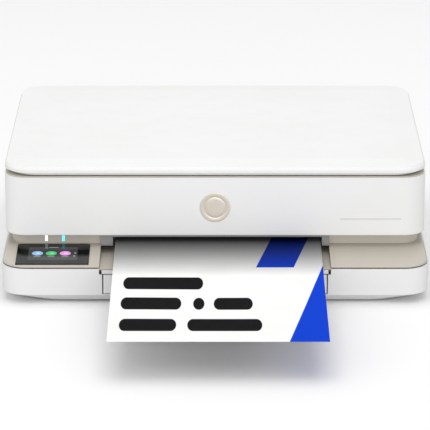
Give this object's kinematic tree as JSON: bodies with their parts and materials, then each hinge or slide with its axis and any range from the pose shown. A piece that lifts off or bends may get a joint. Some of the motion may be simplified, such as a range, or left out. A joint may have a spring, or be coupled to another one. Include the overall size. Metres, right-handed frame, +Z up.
{
  "type": "inkjet printer",
  "caption": "Flatbed all-in-one inkjet printer: lifting scanner lid and body, front paper drawer, sloped touch panel and output slot with a printed sheet leaving it.",
  "frame": {"origin": "middle of the printer's footprint on the surface it stands on, at the underside of the middle foot", "axes": "+X to the printer's right as seen from the front, +Y to the rear, +Z up"},
  "size_m": [0.434, 0.5737, 0.1314],
  "materials": {
    "white_shell": "fine satin texture",
    "warm_shell": "satin, warm champagne beige",
    "grey_plastic": "satin moulded plastic",
    "black_plastic": "satin moulded plastic",
    "tray_plastic": "fine spark texture",
    "glossy_screen": "polished black touch panel",
    "light_lens": "clear light pipe",
    "soft_rubber": "matte",
    "steel_sheet": "zinc plated sheet",
    "bright_steel": "ground shaft",
    "motor_can": "plated",
    "gear_plastic": "moulded acetal",
    "green_board": "solder mask",
    "clear_glass": "float glass",
    "lens_glass": "clear",
    "foam": "white foam backed film",
    "sheet_paper": "plain paper"
  },
  "bodies": {
    "printer_case": {"base_housing": "white_shell", "rubber_feet": "soft_rubber", "case_screws": "bright_steel", "deck_housing": "warm_shell", "display_glass": "glossy_screen", "status_lights": "light_lens", "chassis_frame": "steel_sheet", "carriage_rod": "bright_steel", "pinch_arm": "black_plastic", "exit_frame": "grey_plastic", "platen": "black_plastic", "paper_guide": "black_plastic", "turn_guide": "black_plastic", "carriage_belt": "soft_rubber", "drive_motors": "motor_can", "service_station": "black_plastic", "power_supply": "black_plastic", "power_inlet": "black_plastic", "main_board": "green_board", "usb_port": "steel_sheet"},
    "feed_roller": {"feed_shaft": "bright_steel"},
    "idler": {"idler_gear": "gear_plastic"},
    "exit_roller": {"exit_shaft": "bright_steel"},
    "motor_gear": {"feed_pinion": "gear_plastic"},
    "pinch_rolls": {"pinch_rollers": "soft_rubber"},
    "star_roll": {"star_wheels": "black_plastic"},
    "turn_drum": {"turn_roller": "soft_rubber"},
    "pick_lever": {"pick_arm": "black_plastic"},
    "pick_tyre": {"pick_roller": "soft_rubber"},
    "carriage": {"print_carriage": "black_plastic", "ink_cartridges": "black_plastic"},
    "latch_one": {"latch_colour": "grey_plastic"},
    "latch_two": {"latch_black": "grey_plastic"},
    "belt_drive": {"drive_pulley": "gear_plastic"},
    "belt_idler": {"idler_pulley": "gear_plastic"},
    "capping": {"cap_sled": "grey_plastic"},
    "power_key": {"power_button": "grey_plastic"},
    "wireless_key": {"wireless_button": "grey_plastic"},
    "tray": {"paper_tray": "tray_plastic", "tray_front": "white_shell"},
    "guide_left": {"width_guide_left": "grey_plastic"},
    "guide_right": {"width_guide_right": "grey_plastic"},
    "guide_gear": {"width_pinion": "gear_plastic"},
    "guide_end": {"length_guide": "grey_plastic"},
    "extender": {"output_extender": "tray_plastic"},
    "extender_end": {"extender_tip": "white_shell"},
    "page": {"printed_sheet": "sheet_paper"},
    "scanner": {"body_shell": "white_shell", "scanner_pan": "black_plastic", "scan_rod": "bright_steel", "scanner_bezel": "warm_shell", "platen_glass": "clear_glass", "emblem_disc": "warm_shell", "hinge_knuckles": "grey_plastic"},
    "scan_head": {"scan_carriage": "black_plastic", "scan_lens": "lens_glass"},
    "scan_gear": {"scan_pinion": "gear_plastic"},
    "lid": {"lid_cover": "white_shell", "lid_liner": "white_shell", "lid_pad": "foam"}
  },
  "joints": [
    {"name": "feed_spin", "type": "hinge", "parent": "printer_case", "child": "feed_roller", "pos_m": [0, -0.033, 0.046], "axis": [1, 0, 0], "continuous": true},
    {"name": "idler_spin", "type": "hinge", "parent": "printer_case", "child": "idler", "pos_m": [-0.197, -0.06355, 0.046], "axis": [1, 0, 0], "continuous": true},
    {"name": "exit_spin", "type": "hinge", "parent": "printer_case", "child": "exit_roller", "pos_m": [0, -0.0917, 0.046], "axis": [1, 0, 0], "continuous": true},
    {"name": "motor_spin", "type": "hinge", "parent": "printer_case", "child": "motor_gear", "pos_m": [-0.195, -0.01932, 0.03232], "axis": [1, 0, 0], "continuous": true},
    {"name": "pinch_spin", "type": "hinge", "parent": "printer_case", "child": "pinch_rolls", "pos_m": [0, -0.0345, 0.0551], "axis": [1, 0, 0], "continuous": true},
    {"name": "star_spin", "type": "hinge", "parent": "printer_case", "child": "star_roll", "pos_m": [0, -0.0917, 0.0555], "axis": [1, 0, 0], "continuous": true},
    {"name": "turn_spin", "type": "hinge", "parent": "printer_case", "child": "turn_drum", "pos_m": [0, 0.14, 0.038], "axis": [1, 0, 0], "continuous": true},
    {"name": "pick_swing", "type": "hinge", "parent": "printer_case", "child": "pick_lever", "pos_m": [0, 0.06, 0.038], "axis": [1, 0, 0], "range_deg": [0, 8]},
    {"name": "pick_spin", "type": "hinge", "parent": "pick_lever", "child": "pick_tyre", "pos_m": [0, 0.1, 0.0216], "axis": [1, 0, 0], "continuous": true},
    {"name": "carriage_travel", "type": "slide", "parent": "printer_case", "child": "carriage", "axis": [-1, 0, 0], "range_m": [0, 0.26]},
    {"name": "latch_colour_lift", "type": "hinge", "parent": "carriage", "child": "latch_one", "pos_m": [0.14475, -0.072, 0.0835], "axis": [-1, 0, 0], "range_deg": [0, 80]},
    {"name": "latch_black_lift", "type": "hinge", "parent": "carriage", "child": "latch_two", "pos_m": [0.16925, -0.072, 0.0835], "axis": [-1, 0, 0], "range_deg": [0, 80]},
    {"name": "drive_pulley_spin", "type": "hinge", "parent": "printer_case", "child": "belt_drive", "pos_m": [0.172, -0.006, 0.077], "axis": [0, 1, 0], "continuous": true},
    {"name": "idler_pulley_spin", "type": "hinge", "parent": "printer_case", "child": "belt_idler", "pos_m": [-0.18, -0.006, 0.077], "axis": [0, 1, 0], "continuous": true},
    {"name": "cap_lift", "type": "slide", "parent": "printer_case", "child": "capping", "axis": [0, 0, 1], "range_m": [0, 0.0023]},
    {"name": "power_press", "type": "slide", "parent": "printer_case", "child": "power_key", "axis": [0, -1, 0], "range_m": [0, 0.0012], "stiffness_N_per_m": 300, "springref_m": -0.0005},
    {"name": "wireless_press", "type": "slide", "parent": "printer_case", "child": "wireless_key", "axis": [0, -1, 0], "range_m": [0, 0.0012], "stiffness_N_per_m": 300, "springref_m": -0.0005},
    {"name": "tray_pull", "type": "slide", "parent": "printer_case", "child": "tray", "axis": [0, -1, 0], "range_m": [0, 0.2]},
    {"name": "guide_left_close", "type": "slide", "parent": "tray", "child": "guide_left", "axis": [1, 0, 0], "range_m": [0, 0.065]},
    {"name": "guide_right_close", "type": "slide", "parent": "tray", "child": "guide_right", "axis": [-1, 0, 0], "range_m": [0, 0.065]},
    {"name": "guide_gear_spin", "type": "hinge", "parent": "tray", "child": "guide_gear", "pos_m": [0, 0.05, 0.0129], "axis": [0, 0, 1], "continuous": true},
    {"name": "guide_end_shift", "type": "slide", "parent": "tray", "child": "guide_end", "axis": [0, -1, 0], "range_m": [0, 0.035]},
    {"name": "extender_pull", "type": "slide", "parent": "printer_case", "child": "extender", "axis": [0, -1, 0], "range_m": [0, 0.11]},
    {"name": "extender_tip_pull", "type": "slide", "parent": "extender", "child": "extender_end", "axis": [0, -1, 0], "range_m": [0, 0.06]},
    {"name": "sheet_eject", "type": "slide", "parent": "printer_case", "child": "page", "axis": [0, -1, 0], "range_m": [0, 0.085]},
    {"name": "scanner_lift", "type": "hinge", "parent": "printer_case", "child": "scanner", "pos_m": [0, 0.176, 0.0584], "axis": [-1, 0, 0], "range_deg": [0, 38]},
    {"name": "scan_travel", "type": "slide", "parent": "scanner", "child": "scan_head", "axis": [1, 0, 0], "range_m": [0, 0.27]},
    {"name": "scan_gear_spin", "type": "hinge", "parent": "scan_head", "child": "scan_gear", "pos_m": [-0.135, 0.046, 0.10215], "axis": [0, 1, 0], "continuous": true},
    {"name": "lid_lift", "type": "hinge", "parent": "scanner", "child": "lid", "pos_m": [0, 0.176, 0.125], "axis": [-1, 0, 0], "range_deg": [0, 90]}
  ],
  "couplings": [
    {"joint": "idler_spin", "follows": "feed_spin", "ratio": -0.9},
    {"joint": "exit_spin", "follows": "feed_spin", "ratio": 1.2},
    {"joint": "motor_spin", "follows": "feed_spin", "ratio": -3},
    {"joint": "pinch_spin", "follows": "feed_spin", "ratio": -2},
    {"joint": "star_spin", "follows": "feed_spin", "ratio": -1.5},
    {"joint": "turn_spin", "follows": "feed_spin", "ratio": 0.46154},
    {"joint": "drive_pulley_spin", "follows": "carriage_travel", "rad_per_m": 178.57},
    {"joint": "idler_pulley_spin", "follows": "carriage_travel", "rad_per_m": 178.57},
    {"joint": "guide_right_close", "follows": "guide_left_close", "ratio": 1},
    {"joint": "guide_gear_spin", "follows": "guide_left_close", "rad_per_m": 156.25},
    {"joint": "scan_gear_spin", "follows": "scan_travel", "rad_per_m": 208.33}
  ]
}
